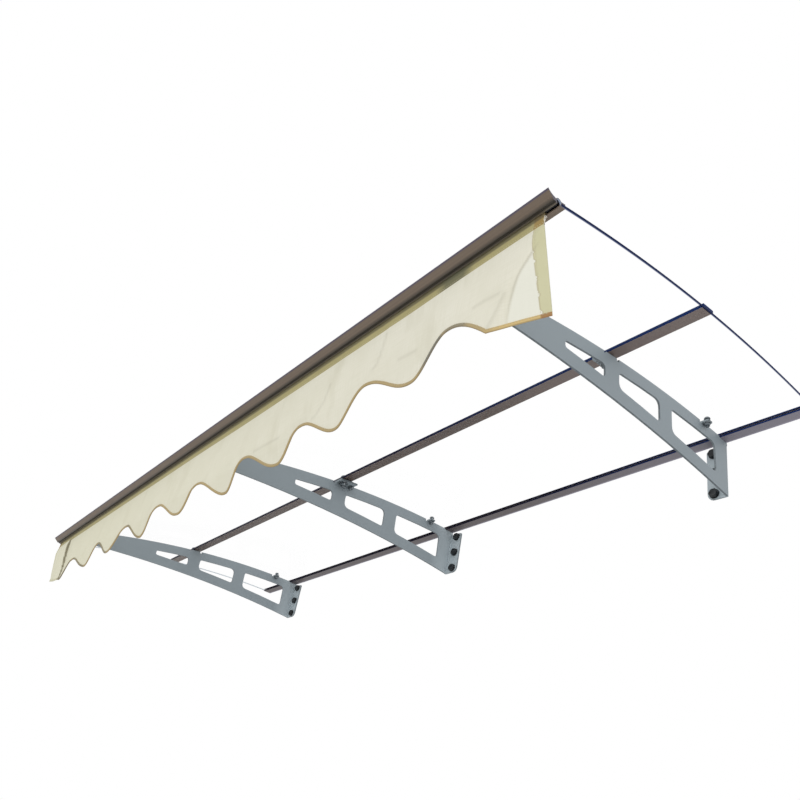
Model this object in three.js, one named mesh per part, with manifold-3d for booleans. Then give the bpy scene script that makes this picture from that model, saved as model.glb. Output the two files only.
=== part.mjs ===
// Window awning: three cut steel brackets carry a clear arched sheet between a front rail and a rear rail,
// with a flat middle rail on top. A cloth valance with a wave edge hangs from a rod in the front rail.
// Millimetres, +Z up, the wall is the plane y = 0 and the awning reaches out along -Y.
import * as THREE from "three";
import { mergeVertices } from "three/addons/utils/BufferGeometryUtils.js";
import Module from "manifold-3d";

// Whole awning
const awningWidth = 2000; // length of the sheet and of the three rails
const sideOverhang = 182; // from the middle of an outer bracket to the end of the rails
const sheetReach = 724.5; // from the wall to the sheet's front edge
const gap = 0.3; // clearance between pieces that rest on each other

// Arched sheet
const arcRadius = 2480; // radius of the brackets' top edges
const crownHeight = 125; // top of the arc above the bracket's lower wall corner
const crownReach = 30; // from the wall to the top of the arc
const sheetThickness = 4;

// Bracket plate
const plateThickness = 4;
const bellyHeight = 15.5; // highest point of the lower edge
const bellyReach = 370; // from the wall to that point
const noseDrop = 7.2; // the lower edge's front end is this far below the wall corner
const noseReach = sheetReach - 2; // from the wall to the bracket's front end
const topBand = 26; // plate left above the windows
const lowBand = 28.5; // plate left below the windows
const rearPost = 44; // plate left behind the rear window
const innerPost = 38; // plate left between two windows
const rearWindow = 152; // lengths of the windows along the bracket
const middleWindow = 123;
const frontWindow = 105;
const windowLean = 0.05; // the windows' ends lean by this much of their height
const windowCorner = 9; // at the windows' sharp corners
const windowBend = 15; // at their blunt corners
const windowTip = 6; // at the front window's front end

// Wall flange
const flangeWidth = 43; // over the plate's thickness
const flangeHeight = 114;
const flangeLowCorner = 16;
const flangeTopCorner = 5;
const bendRadius = 4.5; // outside of the bend
const boltEdge = 15; // from the flange's free edge to the bolts
const boltLow = 12; // height of the lowest wall bolt
const boltPitch = 46;

// Wall bolt
const wallBoltDiameter = 10;
const wallBoltAcross = 17; // hexagon, across its flats
const wallBoltHead = 7;
const wallBoltCollar = 21; // collar's diameter
const wallBoltCollarHeight = 2;

// Ears bent over at the bracket's top edge, and their relief cuts
const sheetEarLength = 14.5; // out from the plate
const sheetEarWidth = 14;
const railEarLength = 26;
const railEarWidth = 30;
const earSink = 0.1; // ear's top, below the bracket's top edge
const reliefWidth = 6;
const reliefDepth = 5;

// Bolts through the ears: sheet bolts at the rear, rail bolts through the middle rail, and one keeper
// behind the rail at the middle bracket
const sheetBoltReach = 88; // from the wall
const railBoltAhead = 5; // of the middle rail's middle
const keeperBehind = 26.5; // from the rail bolt
const sheetBoltOut = 8; // from the plate's face to the bolt
const railBoltOut = 13.5;
const boltPlay = 0.5; // round a bolt in its hole
const sheetBoltDiameter = 6;
const sheetBoltHead = 12.5; // head's diameter
const sheetBoltHeadHeight = 5;
const sheetWasher = 14.5; // washer's diameter
const sheetWasherThickness = 1.6;
const sheetNutAcross = 10; // hexagon, across its flats
const sheetNutHeight = 5;
const sheetBoltEnd = 3; // thread left below the nut
const railBoltDiameter = 8;
const railBoltHead = 16;
const railBoltHeadHeight = 6;
const railWasher = 24;
const railWasherThickness = 2;
const railNutAcross = 13;
const railNutHeight = 6.5;
const railBoltEnd = 5;

// Rails
const lipThickness = 2; // walls of the front and rear rails
const sheetFit = 0.6; // play of the sheet in a rail's slot
const railDepth = 26.5; // rear rail, front to back
const railSetback = 1.5; // rear rail's back, out from the wall
const barWidth = 28; // middle rail
const barThickness = 5;
const barReach = 377; // from the wall to the middle of the middle rail
const slotDepth = 6.5; // sheet's engagement in the front rail
const slotPlay = 0.5; // ahead of the sheet's edge in that slot
const channelBore = 8.4; // cord channel's inside diameter
const channelWall = 1.3;
const channelMouth = 5; // slit that the cloth comes out of
const channelAhead = 5.7; // channel's middle, ahead of the sheet's edge
const channelAbove = 0.6; // channel's middle, above the middle of the sheet's edge
const channelLip = 2.6; // flat lip ahead of the slit
const grooveWidth = 3.4; // drip groove ahead of that lip
const grooveDepth = 1.8;
const finReach = 21; // fin's tip, ahead of the channel's middle
const finRise = 7.3; // fin's tip, above the channel's middle
const finTip = 1.2; // thickness at the tip
const finRoot = 1.3; // fin's top where it leaves the channel, above the channel's middle
const finTurn = 16; // where the fin's top turns up, ahead of the channel's middle
const finHeel = 9; // where the flat underside meets the slope, ahead of the channel's middle
const finHeelDrop = 4.6; // heel, below the channel's middle

// Valance
const clothThickness = 1;
const leftInset = 6; // from the rail's left end to the cloth's side edge
const rightInset = 22; // and at the right end, where the slit stays open
const rodDiameter = 5;
const rodShort = 5; // rod's right end, inside the rail
const capDiameter = 8; // cap on the rod's left end, past the rail
const capLength = 7;
const pocketPlay = 0.3; // rod in its pocket
const clothDrop = 134.5; // mean drop from the channel's middle
const waveHeight = 23.5; // wave edge, from its mean line
const wavePitch = 195.3;
const waveLean = 0.63; // share of a wave from its crest to its low, left to right
const firstLowInset = 169; // from the cloth's left side to the first low
const lastLowInset = 73; // from the last low to the cloth's right side
const leftLift = 37; // the edge rises by this much from the first low to the left side
const rightLift = 9; // and from the last low to the right side
const foldDepth = 3;
const foldPitch = 345;
const lobeSwing = 13; // the lobes of the wave hang in toward the wall, most at the middle of the awning
const lobeSpan = 650; // and not at all this far from it
const rightSwing = 30; // the right end's lower corner hangs in toward the wall
const leftSwing = 16; // and so does the left end's
const swingLength = 95; // of the cloth, from its side edge

// Colours
const steelGrey = { color: 0x868f96, roughness: 0.5, metalness: 0.2 };
const railBrown = { color: 0x6e6058, roughness: 0.45, metalness: 0.3 };
const clearPlastic = { color: 0xe8eef2, roughness: 0.08, metalness: 0, transparent: true, opacity: 0.2 };
const cream = { color: 0xe2decd, roughness: 0.9, metalness: 0 };
const boltBlack = { color: 0x12181c, roughness: 0.5, metalness: 0.3 };
const darkSteel = { color: 0x3a4246, roughness: 0.35, metalness: 0.8 };
const rodBlack = { color: 0x1c1e26, roughness: 0.45, metalness: 0.1 };

// Joining and cutting
const wasm = await Module();
wasm.setup();

function solid(geometry) {
  const bare = geometry.index ? geometry.toNonIndexed() : geometry.clone();
  for (const name of Object.keys(bare.attributes)) {
    if (name !== "position") {
      bare.deleteAttribute(name);
    }
  }
  const merged = mergeVertices(bare, 1e-4);
  return new wasm.Manifold(new wasm.Mesh({
    numProp: 3,
    vertProperties: new Float32Array(merged.attributes.position.array),
    triVerts: new Uint32Array(merged.index.array),
  }));
}

function surface(body) {
  const mesh = body.getMesh();
  const geometry = new THREE.BufferGeometry();
  geometry.setAttribute("position", new THREE.BufferAttribute(mesh.vertProperties, mesh.numProp));
  geometry.setIndex(new THREE.BufferAttribute(mesh.triVerts, 1));
  geometry.computeVertexNormals();
  return geometry;
}

function joined(geometries) {
  return geometries.map(solid).reduce((whole, piece) => whole.add(piece));
}

// Prisms: a side profile drawn as (y, z) runs along X, a front profile drawn as (x, z) runs out along -Y,
// and a plan profile drawn as (x, y) runs up along Z.
const unitX = new THREE.Vector3(1, 0, 0);
const unitY = new THREE.Vector3(0, 1, 0);
const unitZ = new THREE.Vector3(0, 0, 1);

function prism(profile, depth, curveSegments = 5) {
  return new THREE.ExtrudeGeometry(profile, { depth, bevelEnabled: false, curveSegments });
}

function alongX(profile, fromX, toX, curveSegments) {
  const turn = new THREE.Matrix4().makeBasis(unitY, unitZ, unitX);
  return prism(profile, toX - fromX, curveSegments).applyMatrix4(turn).translate(fromX, 0, 0);
}

function outFromWall(profile, fromY, toY) {
  const turn = new THREE.Matrix4().makeBasis(unitX, unitZ, unitY.clone().negate());
  return prism(profile, fromY - toY).applyMatrix4(turn).translate(0, fromY, 0);
}

function upright(profile, fromZ, toZ) {
  return prism(profile, toZ - fromZ).translate(0, 0, fromZ);
}

// Outline through corners given as [u, v, radius]; the radius may be left out.
function outline(corners) {
  const path = new THREE.Shape();
  corners.forEach(([u, v, radius = 0], i) => {
    const corner = new THREE.Vector2(u, v);
    const [beforeU, beforeV] = corners[(i + corners.length - 1) % corners.length];
    const [afterU, afterV] = corners[(i + 1) % corners.length];
    const before = new THREE.Vector2(beforeU, beforeV).sub(corner);
    const after = new THREE.Vector2(afterU, afterV).sub(corner);
    const halfAngle = Math.acos(before.dot(after) / (before.length() * after.length())) / 2;
    const reach = Math.min(radius / Math.tan(halfAngle), before.length() / 2.02, after.length() / 2.02);
    const start = corner.clone().addScaledVector(before.normalize(), reach);
    const end = corner.clone().addScaledVector(after.normalize(), reach);
    if (i === 0) {
      path.moveTo(start.x, start.y);
    } else {
      path.lineTo(start.x, start.y);
    }
    if (radius > 0) {
      path.quadraticCurveTo(u, v, end.x, end.y);
    }
  });
  path.closePath();
  return path;
}

function disc(radius, u = 0, v = 0) {
  const path = new THREE.Path();
  path.absarc(u, v, radius, 0, Math.PI * 2, true);
  return path;
}

// The arc: every piece that follows the sheet is drawn at a height above the brackets' top edges.
function arcHeight(y, above = 0) {
  const radius = arcRadius + above;
  const run = y + crownReach;
  return crownHeight - arcRadius + Math.sqrt(radius * radius - run * run);
}

function arcTilt(y) {
  return -Math.asin((y + crownReach) / arcRadius);
}

function arcPoints(fromY, toY, above, steps) {
  const points = [];
  for (let i = 0; i <= steps; i += 1) {
    const y = fromY + ((toY - fromY) * i) / steps;
    points.push([y, arcHeight(y, above)]);
  }
  return points;
}

function arcBand(frontY, rearY, low, high, steps) {
  return outline([...arcPoints(frontY, rearY, low, steps), ...arcPoints(rearY, frontY, high, steps)]);
}

// Heights above the brackets' top edges
const sheetLow = gap;
const sheetHigh = sheetLow + sheetThickness;
const lipLow = sheetLow - sheetFit / 2 - lipThickness;
const lipHigh = sheetHigh + sheetFit / 2 + lipThickness;
const barLow = sheetHigh + gap;
const halfWidth = awningWidth / 2;
const railBoltReach = barReach + railBoltAhead;
const bracketPlaces = { left: sideOverhang - halfWidth, middle: 0, right: halfWidth - sideOverhang };
const flangeSides = { left: 1, middle: 1, right: -1 };

// Ears of each bracket, from the wall outward. An ear is a flat tab that touches the arc at its middle,
// and its bolts stand square to it. The middle bracket's rail ear is wide enough for the keeper as well.
function earsOf(name) {
  const sheetEar = {
    side: 1,
    reach: sheetBoltReach,
    length: sheetEarLength,
    width: sheetEarWidth,
    bolts: [{ kind: "sheet", ahead: 0, out: sheetBoltOut }],
  };
  const railFront = railBoltReach + railEarWidth / 2;
  const keeperRear = railBoltReach - keeperBehind - sheetEarWidth / 2;
  const railRear = name === "middle" ? keeperRear : railBoltReach - railEarWidth / 2;
  const railMiddle = (railFront + railRear) / 2;
  const railEar = {
    side: name === "middle" ? 1 : -1,
    reach: railMiddle,
    length: railEarLength,
    width: railFront - railRear,
    bolts: [{ kind: "rail", ahead: railBoltReach - railMiddle, out: railBoltOut }],
  };
  if (name === "middle") {
    const keeperAhead = railBoltReach - keeperBehind - railMiddle;
    railEar.bolts.push({ kind: "keeper", ahead: keeperAhead, out: sheetBoltOut });
  }
  return [sheetEar, railEar];
}

function earPlace(ear) {
  const tilt = new THREE.Matrix4().makeRotationX(arcTilt(-ear.reach));
  return tilt.setPosition(0, -ear.reach, arcHeight(-ear.reach));
}

function boltX(ear, bolt) {
  return ear.side * (plateThickness / 2 + bolt.out);
}

function boltHole(ear, bolt) {
  const diameter = bolt.kind === "rail" ? railBoltDiameter : sheetBoltDiameter;
  const radius = diameter / 2 + boltPlay;
  const hole = new THREE.CylinderGeometry(radius, radius, 12 * plateThickness, 16);
  return hole.rotateX(Math.PI / 2).translate(boltX(ear, bolt), -bolt.ahead, 0).applyMatrix4(earPlace(ear));
}

// The lower edge is the arc through the wall corner, the belly and the nose.
function lowArc() {
  const a = new THREE.Vector2(0, 0);
  const b = new THREE.Vector2(-bellyReach, bellyHeight);
  const c = new THREE.Vector2(-noseReach, -noseDrop);
  const d = 2 * (a.x * (b.y - c.y) + b.x * (c.y - a.y) + c.x * (a.y - b.y));
  const centreY = (a.lengthSq() * (b.y - c.y) + b.lengthSq() * (c.y - a.y) + c.lengthSq() * (a.y - b.y)) / d;
  const centreZ = (a.lengthSq() * (c.x - b.x) + b.lengthSq() * (a.x - c.x) + c.lengthSq() * (b.x - a.x)) / d;
  return { centreY, centreZ, radius: Math.hypot(centreY, centreZ) };
}
const belly = lowArc();

function lowHeight(y) {
  const run = y - belly.centreY;
  return belly.centreZ + Math.sqrt(belly.radius * belly.radius - run * run);
}

// One window of the bracket between two distances from the wall, with its long sides along the two edges.
function bracketWindow(nearReach, farReach, farCorner, farBend) {
  const lean = (reach) => {
    const height = arcHeight(-reach, -topBand) - lowHeight(-reach) - lowBand;
    return height * windowLean;
  };
  const middle = -(nearReach + farReach) / 2;
  const topNear = -nearReach - lean(nearReach);
  const topFar = -farReach - lean(farReach);
  return outline([
    [-nearReach, lowHeight(-nearReach) + lowBand, windowCorner],
    [topNear, arcHeight(topNear, -topBand), windowBend],
    [middle, arcHeight(middle, -topBand)],
    [topFar, arcHeight(topFar, -topBand), farCorner],
    [-farReach, lowHeight(-farReach) + lowBand, farBend],
    [middle, lowHeight(middle) + lowBand],
  ]);
}

// Bracket: the plate with its windows, the bent wall flange and two ears bent over at the top edge.
function bracket(flangeSide, ears) {
  const half = plateThickness / 2;
  const stepDown = lipLow - gap;
  const noseStep = sheetReach - slotDepth - 2;
  const rearStep = railDepth + railSetback + 2;
  const reliefTop = flangeHeight + 2;
  const edge = [];
  for (let i = 0; i <= 14; i += 1) {
    const y = -noseReach + ((noseReach - bendRadius) * i) / 14;
    edge.push([y, lowHeight(y)]);
  }
  const plate = outline([
    ...edge,
    [-bendRadius, reliefTop],
    [0, reliefTop],
    ...arcPoints(0, -rearStep, stepDown, 2),
    ...arcPoints(-rearStep, -noseStep, 0, 24),
    ...arcPoints(-noseStep, -noseReach, stepDown, 1),
  ]);
  const middleNear = rearPost + rearWindow + innerPost;
  const frontNear = middleNear + middleWindow + innerPost;
  plate.holes.push(bracketWindow(rearPost, rearPost + rearWindow, windowCorner, windowBend));
  plate.holes.push(bracketWindow(middleNear, middleNear + middleWindow, windowCorner, windowBend));
  plate.holes.push(bracketWindow(frontNear, frontNear + frontWindow, windowTip, windowTip));

  const freeEdge = flangeWidth - half;
  const bend = outline([
    [-half, -bendRadius - 1],
    [-half, 0, bendRadius],
    [freeEdge, 0],
    [freeEdge, -plateThickness],
    [half, -plateThickness, bendRadius - plateThickness],
    [half, -bendRadius - 1],
  ]);
  const flangeFace = outline([
    [-half - 1, 0],
    [freeEdge, 0, flangeLowCorner],
    [freeEdge, flangeHeight, flangeTopCorner],
    [-half - 1, flangeHeight],
  ]);
  for (let i = 0; i < 3; i += 1) {
    flangeFace.holes.push(disc(wallBoltDiameter / 2 + 0.5, freeEdge - boltEdge, boltLow + boltPitch * i));
  }
  const flange = solid(upright(bend, -1, flangeHeight + 1));
  const flangeCut = solid(outFromWall(flangeFace, 1, -bendRadius - 2));
  let body = flange.intersect(flangeCut);
  if (flangeSide < 0) {
    body = body.mirror([1, 0, 0]);
  }
  body = body.add(solid(alongX(plate, -half, half)));
  for (const ear of ears) {
    for (const end of [-1, 1]) {
      const relief = new THREE.BoxGeometry(plateThickness * 2, reliefWidth, reliefDepth * 2);
      relief.translate(0, (end * (ear.width + reliefWidth)) / 2, 0).applyMatrix4(earPlace(ear));
      body = body.subtract(solid(relief));
    }
  }
  for (const ear of ears) {
    const across = ear.length + half;
    const tab = new THREE.BoxGeometry(across, ear.width, plateThickness);
    tab.translate((ear.side * across) / 2, 0, -plateThickness / 2 - earSink).applyMatrix4(earPlace(ear));
    body = body.add(solid(tab));
    for (const bolt of ear.bolts) {
      body = body.subtract(solid(boltHole(ear, bolt)));
    }
  }
  return surface(body);
}

function drilled(body, kinds) {
  let cut = body;
  for (const [name, x] of Object.entries(bracketPlaces)) {
    for (const ear of earsOf(name)) {
      for (const bolt of ear.bolts.filter(({ kind }) => kinds.includes(kind))) {
        cut = cut.subtract(solid(boltHole(ear, bolt).translate(x, 0, 0)));
      }
    }
  }
  return cut;
}

// Sheet: bent to the brackets' arc, drilled for the bolts.
function clearSheet() {
  const rearEdge = -railSetback - lipThickness - 1;
  const band = arcBand(-sheetReach, rearEdge, sheetLow, sheetHigh, 32);
  return surface(drilled(solid(alongX(band, -halfWidth, halfWidth)), ["sheet", "rail", "keeper"]));
}

// Middle rail: a flat bar over the sheet, drilled for the rail bolts.
function middleRail() {
  const frontY = -barReach - barWidth / 2;
  const rearY = -barReach + barWidth / 2;
  const band = arcBand(frontY, rearY, barLow, barLow + barThickness, 2);
  return surface(drilled(solid(alongX(band, -halfWidth, halfWidth)), ["rail"]));
}

// Rear rail: a U section closed toward the wall.
function rearRail() {
  const back = -railSetback;
  const front = back - railDepth;
  const inside = back - lipThickness;
  const slotLow = lipLow + lipThickness;
  const slotHigh = lipHigh - lipThickness;
  const section = outline([
    ...arcPoints(front, back, lipLow, 2),
    ...arcPoints(back, front, lipHigh, 2),
    ...arcPoints(front, inside, slotHigh, 2),
    ...arcPoints(inside, front, slotLow, 2),
  ]);
  return alongX(section, -halfWidth, halfWidth);
}

// Front rail: a cord channel open below, a slot for the sheet behind it and a raised fin ahead of it.
const channelY = -sheetReach - channelAhead;
const channelZ = arcHeight(-sheetReach, (sheetLow + sheetHigh) / 2) + channelAbove;

function frontRail() {
  const outer = channelBore / 2 + channelWall;
  const tube = new THREE.Shape();
  tube.absarc(channelY, channelZ, outer, 0, Math.PI * 2, false);
  const bore = new THREE.Shape();
  bore.absarc(channelY, channelZ, channelBore / 2, 0, Math.PI * 2, false);
  const mouth = outline([
    [channelY - channelMouth / 2, channelZ - outer * 2],
    [channelY + channelMouth / 2, channelZ - outer * 2],
    [channelY + channelMouth / 2, channelZ],
    [channelY - channelMouth / 2, channelZ],
  ]);
  const grooveRear = channelY - channelMouth / 2 - channelLip;
  const grooveTop = channelZ - outer + grooveDepth;
  const groove = outline([
    [grooveRear - grooveWidth, channelZ - outer * 2],
    [grooveRear, channelZ - outer * 2],
    [grooveRear, grooveTop],
    [grooveRear - grooveWidth, grooveTop],
  ]);
  const lipEnd = -sheetReach + slotDepth;
  const jaw = arcBand(channelY + channelMouth / 2, lipEnd, lipLow, lipHigh, 3);
  const slotEnd = -sheetReach - slotPlay;
  const slot = arcBand(slotEnd, lipEnd + 1, lipLow + lipThickness, lipHigh - lipThickness, 3);
  const tipY = channelY - finReach;
  const tipZ = channelZ + finRise;
  const fin = new THREE.Shape();
  fin.moveTo(channelY, channelZ - outer);
  fin.lineTo(channelY, channelZ + finRoot);
  fin.quadraticCurveTo(channelY - finTurn, channelZ + finRoot, tipY, tipZ);
  fin.lineTo(tipY - finTip / 2, tipZ - finTip);
  fin.lineTo(channelY - finHeel, channelZ - finHeelDrop);
  fin.closePath();
  const run = (profile) => alongX(profile, -halfWidth, halfWidth, 9);
  const past = (profile) => solid(alongX(profile, -halfWidth - 1, halfWidth + 1, 9));
  const body = joined([run(tube), run(jaw), run(fin)]);
  return surface([slot, bore, mouth, groove].reduce((whole, cut) => whole.subtract(past(cut)), body));
}

// Valance: a pocket round the rod, and a cloth that falls from it to a bound wave edge.
const clothLeft = leftInset - halfWidth;
const clothRight = halfWidth - rightInset;

// The edge falls to the first low, runs on in leaning waves, and rises again from the last low.
const firstLow = clothLeft + firstLowInset;
const lastLow = clothRight - lastLowInset;
const firstCrest = firstLow + (1 - waveLean) * wavePitch;
const lastCrest = firstCrest + Math.floor((lastLow - firstCrest) / wavePitch - 0.25) * wavePitch;

function clothEdge(x) {
  if (x <= firstLow) {
    return clothDrop + waveHeight - (leftLift * (firstLow - x)) / firstLowInset;
  }
  if (x >= lastLow) {
    return clothDrop + waveHeight - (rightLift * (x - lastLow)) / lastLowInset;
  }
  const phase = (x - firstCrest) / wavePitch;
  const share = phase - Math.floor(phase);
  let turn = share < waveLean ? share / waveLean / 2 : 1 - (1 - share) / (1 - waveLean) / 2;
  if (x > lastCrest) {
    turn = (x - lastCrest) / (lastLow - lastCrest) / 2;
  }
  return clothDrop - waveHeight * Math.cos(turn * Math.PI * 2);
}

function clothSway(x, drop) {
  const depth = drop / clothDrop;
  const broad = Math.sin((x / foldPitch) * Math.PI * 2 + 0.4);
  const narrow = Math.sin((x / foldPitch) * Math.PI * 5.4 + depth * 0.9);
  const toSide = Math.min(x - clothLeft, clothRight - x);
  const nearEnd = THREE.MathUtils.clamp(1 - toSide / swingLength, 0, 1);
  const swing = x > 0 ? rightSwing : leftSwing;
  const folds = foldDepth * (broad * 0.7 + narrow * 0.3) * (1 - nearEnd);
  const nearMiddle = Math.max(0, 1 - (x * x) / (lobeSpan * lobeSpan));
  const lobe = Math.max(0, drop - clothDrop + waveHeight) / (2 * waveHeight);
  const ends = swing * nearEnd * Math.sqrt(nearEnd) * depth;
  return folds * depth * depth + lobeSwing * nearMiddle * lobe + ends;
}

function valance() {
  const columns = 144;
  const rows = 8;
  const pocketInner = rodDiameter / 2 + pocketPlay;
  const pocketOuter = pocketInner + clothThickness;
  const start = (pocketInner + pocketOuter) / 2;
  const straight = pocketOuter + 3;
  const positions = [];
  const faces = [];
  const corner = (side, i, j) => (side * (columns + 1) + i) * (rows + 1) + j;
  for (const side of [-0.5, 0.5]) {
    for (let i = 0; i <= columns; i += 1) {
      const x = clothLeft + ((clothRight - clothLeft) * i) / columns;
      for (let j = 0; j <= rows; j += 1) {
        const fall = ((clothEdge(x) - straight) * Math.max(0, j - 1)) / (rows - 1);
        const drop = j === 0 ? start : straight + fall;
        const y = channelY + clothSway(x, fall) + side * clothThickness;
        positions.push(x, y, channelZ - drop);
      }
    }
  }
  const quad = (a, b, c, d) => faces.push(a, b, c, a, c, d);
  for (let i = 0; i < columns; i += 1) {
    for (let j = 0; j < rows; j += 1) {
      quad(corner(0, i, j), corner(0, i, j + 1), corner(0, i + 1, j + 1), corner(0, i + 1, j));
      quad(corner(1, i, j), corner(1, i + 1, j), corner(1, i + 1, j + 1), corner(1, i, j + 1));
    }
    quad(corner(0, i, 0), corner(0, i + 1, 0), corner(1, i + 1, 0), corner(1, i, 0));
    quad(corner(0, i, rows), corner(1, i, rows), corner(1, i + 1, rows), corner(0, i + 1, rows));
  }
  for (let j = 0; j < rows; j += 1) {
    quad(corner(0, 0, j), corner(1, 0, j), corner(1, 0, j + 1), corner(0, 0, j + 1));
    quad(corner(0, columns, j), corner(0, columns, j + 1), corner(1, columns, j + 1), corner(1, columns, j));
  }
  const cloth = new THREE.BufferGeometry();
  cloth.setAttribute("position", new THREE.Float32BufferAttribute(positions, 3));
  cloth.setIndex(faces);
  const pocket = new THREE.Shape();
  pocket.absarc(channelY, channelZ, pocketOuter, 0, Math.PI * 2, false);
  pocket.holes.push(disc(pocketInner, channelY, channelZ));
  return surface(joined([cloth, alongX(pocket, clothLeft, clothRight)]));
}

function turned(profile, segments) {
  const points = profile.map(([radius, height]) => new THREE.Vector2(radius, height));
  return new THREE.LatheGeometry(points, segments).rotateX(Math.PI / 2);
}

function valanceRod() {
  const capEnd = -halfWidth - gap;
  const rod = turned([
    [0, capEnd - capLength],
    [capDiameter / 2, capEnd - capLength],
    [capDiameter / 2, capEnd],
    [rodDiameter / 2, capEnd],
    [rodDiameter / 2, halfWidth - rodShort],
    [0, halfWidth - rodShort],
  ], 16);
  return rod.rotateY(Math.PI / 2).translate(0, channelY, channelZ);
}

// Fasteners, drawn upright with z = 0 at the face they bear on
function hexagon(across, depth) {
  const prismShape = new THREE.CylinderGeometry(across / Math.sqrt(3), across / Math.sqrt(3), depth, 6);
  return prismShape.rotateX(Math.PI / 2).translate(0, 0, depth / 2);
}

function wallBolt() {
  const shank = plateThickness - gap;
  const stem = turned([
    [0, -shank],
    [wallBoltDiameter / 2, -shank],
    [wallBoltDiameter / 2, 0],
    [wallBoltCollar / 2, 0],
    [wallBoltCollar / 2, wallBoltCollarHeight],
    [0, wallBoltCollarHeight],
  ], 20);
  const head = hexagon(wallBoltAcross, wallBoltHead).translate(0, 0, wallBoltCollarHeight / 2);
  return surface(joined([stem, head]));
}

function domeBolt(diameter, shank, headDiameter, headHeight) {
  const radius = headDiameter / 2;
  return turned([
    [0, -shank],
    [diameter / 2, -shank],
    [diameter / 2, 0],
    [radius, 0],
    [radius, headHeight * 0.4],
    [radius * 0.75, headHeight * 0.85],
    [0, headHeight],
  ], 16);
}

function ring(innerDiameter, outerDiameter, depth) {
  const face = new THREE.Shape();
  face.absarc(0, 0, outerDiameter / 2, 0, Math.PI * 2, false);
  face.holes.push(disc(innerDiameter / 2));
  return prism(face, depth, 7);
}

function nut(diameter, across, height) {
  const radius = diameter / 2 + gap;
  const bore = new THREE.CylinderGeometry(radius, radius, height * 3, 16).rotateX(Math.PI / 2);
  return surface(solid(hexagon(across, height)).subtract(solid(bore)));
}

// One fixing set of a bolt from above, a washer and a nut, from the face under the head down
function fixingSet(kind) {
  const isRail = kind === "rail";
  const diameter = isRail ? railBoltDiameter : sheetBoltDiameter;
  const washerThickness = isRail ? railWasherThickness : sheetWasherThickness;
  const nutHeight = isRail ? railNutHeight : sheetNutHeight;
  const top = isRail ? barLow + barThickness + gap : sheetHigh + gap;
  const washerZ = -earSink - plateThickness - gap - washerThickness;
  const nutZ = washerZ - gap - nutHeight;
  const shank = top - nutZ + (isRail ? railBoltEnd : sheetBoltEnd);
  const head = isRail ? [railBoltHead, railBoltHeadHeight] : [sheetBoltHead, sheetBoltHeadHeight];
  const washerDiameter = isRail ? railWasher : sheetWasher;
  return [
    { piece: "bolt", z: top, shape: domeBolt(diameter, shank, ...head) },
    { piece: "washer", z: washerZ, shape: ring(diameter + 2 * gap, washerDiameter, washerThickness) },
    { piece: "nut", z: nutZ, shape: nut(diameter, isRail ? railNutAcross : sheetNutAcross, nutHeight) },
  ];
}

// Assembly, built with x = 0 at the middle bracket and z = 0 at the brackets' lower wall corners,
// then set down so that the origin is on the back of the middle wall flange between two bolts.
const awning = new THREE.Group();

function place(name, geometry, look, parent) {
  const mesh = new THREE.Mesh(geometry, new THREE.MeshStandardMaterial(look));
  mesh.name = name;
  parent.add(mesh);
  return mesh;
}

const wallBoltShape = wallBolt();

for (const [name, x] of Object.entries(bracketPlaces)) {
  const flangeSide = flangeSides[name];
  const station = new THREE.Group();
  station.position.x = x;
  awning.add(station);
  place(`bracket_${name}`, bracket(flangeSide, earsOf(name)), steelGrey, station);
  ["low", "middle", "top"].forEach((level, i) => {
    const bolt = place(`wall_bolt_${name}_${level}`, wallBoltShape, boltBlack, station);
    const across = flangeSide * (flangeWidth - plateThickness / 2 - boltEdge);
    bolt.position.set(across, -plateThickness - gap, boltLow + boltPitch * i);
    bolt.rotation.x = Math.PI / 2;
  });
  for (const ear of earsOf(name)) {
    const tab = new THREE.Group();
    tab.applyMatrix4(earPlace(ear));
    station.add(tab);
    for (const bolt of ear.bolts) {
      for (const { piece, z, shape } of fixingSet(bolt.kind)) {
        const part = place(`${bolt.kind}_${piece}_${name}`, shape, darkSteel, tab);
        part.position.set(boltX(ear, bolt), -bolt.ahead, z);
      }
    }
  }
}
place("clear_sheet", clearSheet(), clearPlastic, awning);
place("front_rail", frontRail(), railBrown, awning);
place("middle_rail", middleRail(), railBrown, awning);
place("rear_rail", rearRail(), railBrown, awning);
place("valance", valance(), cream, awning);
place("valance_rod", valanceRod(), rodBlack, awning);
awning.position.set(-flangeWidth / 2, 0, -boltLow - boltPitch / 2);

export default awning;
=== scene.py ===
import math

import bmesh
import bpy
import numpy as np
from mathutils import Euler, Matrix, Vector


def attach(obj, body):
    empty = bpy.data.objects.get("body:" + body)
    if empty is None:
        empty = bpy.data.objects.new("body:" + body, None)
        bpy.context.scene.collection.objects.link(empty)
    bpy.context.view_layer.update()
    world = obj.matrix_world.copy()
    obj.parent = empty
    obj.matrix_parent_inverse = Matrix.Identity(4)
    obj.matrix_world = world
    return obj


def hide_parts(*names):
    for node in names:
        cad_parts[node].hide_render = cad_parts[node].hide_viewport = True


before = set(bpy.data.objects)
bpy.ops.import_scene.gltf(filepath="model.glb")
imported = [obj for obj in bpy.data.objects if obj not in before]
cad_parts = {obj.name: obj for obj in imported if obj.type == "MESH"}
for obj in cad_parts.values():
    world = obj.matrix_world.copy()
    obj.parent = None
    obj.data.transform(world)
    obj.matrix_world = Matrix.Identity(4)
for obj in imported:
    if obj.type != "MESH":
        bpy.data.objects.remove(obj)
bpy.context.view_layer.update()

# Camera: stands in front of the awning's right end, lower than its brackets, and looks up under it.
# Its place, turn and lens follow the corners of the three brackets in the photograph, which is a crop,
# so the lens is shifted by the crop.
scene = bpy.context.scene
camera = bpy.data.objects.new("camera", bpy.data.cameras.new("camera"))
camera.location = (1.44109, -1.19474, -0.78237)
camera.rotation_euler = [math.radians(turn) for turn in (118.31999, -8.21555, 47.18015)]
lens = camera.data
lens.sensor_width = 36.0
lens.lens = 33.628
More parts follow.
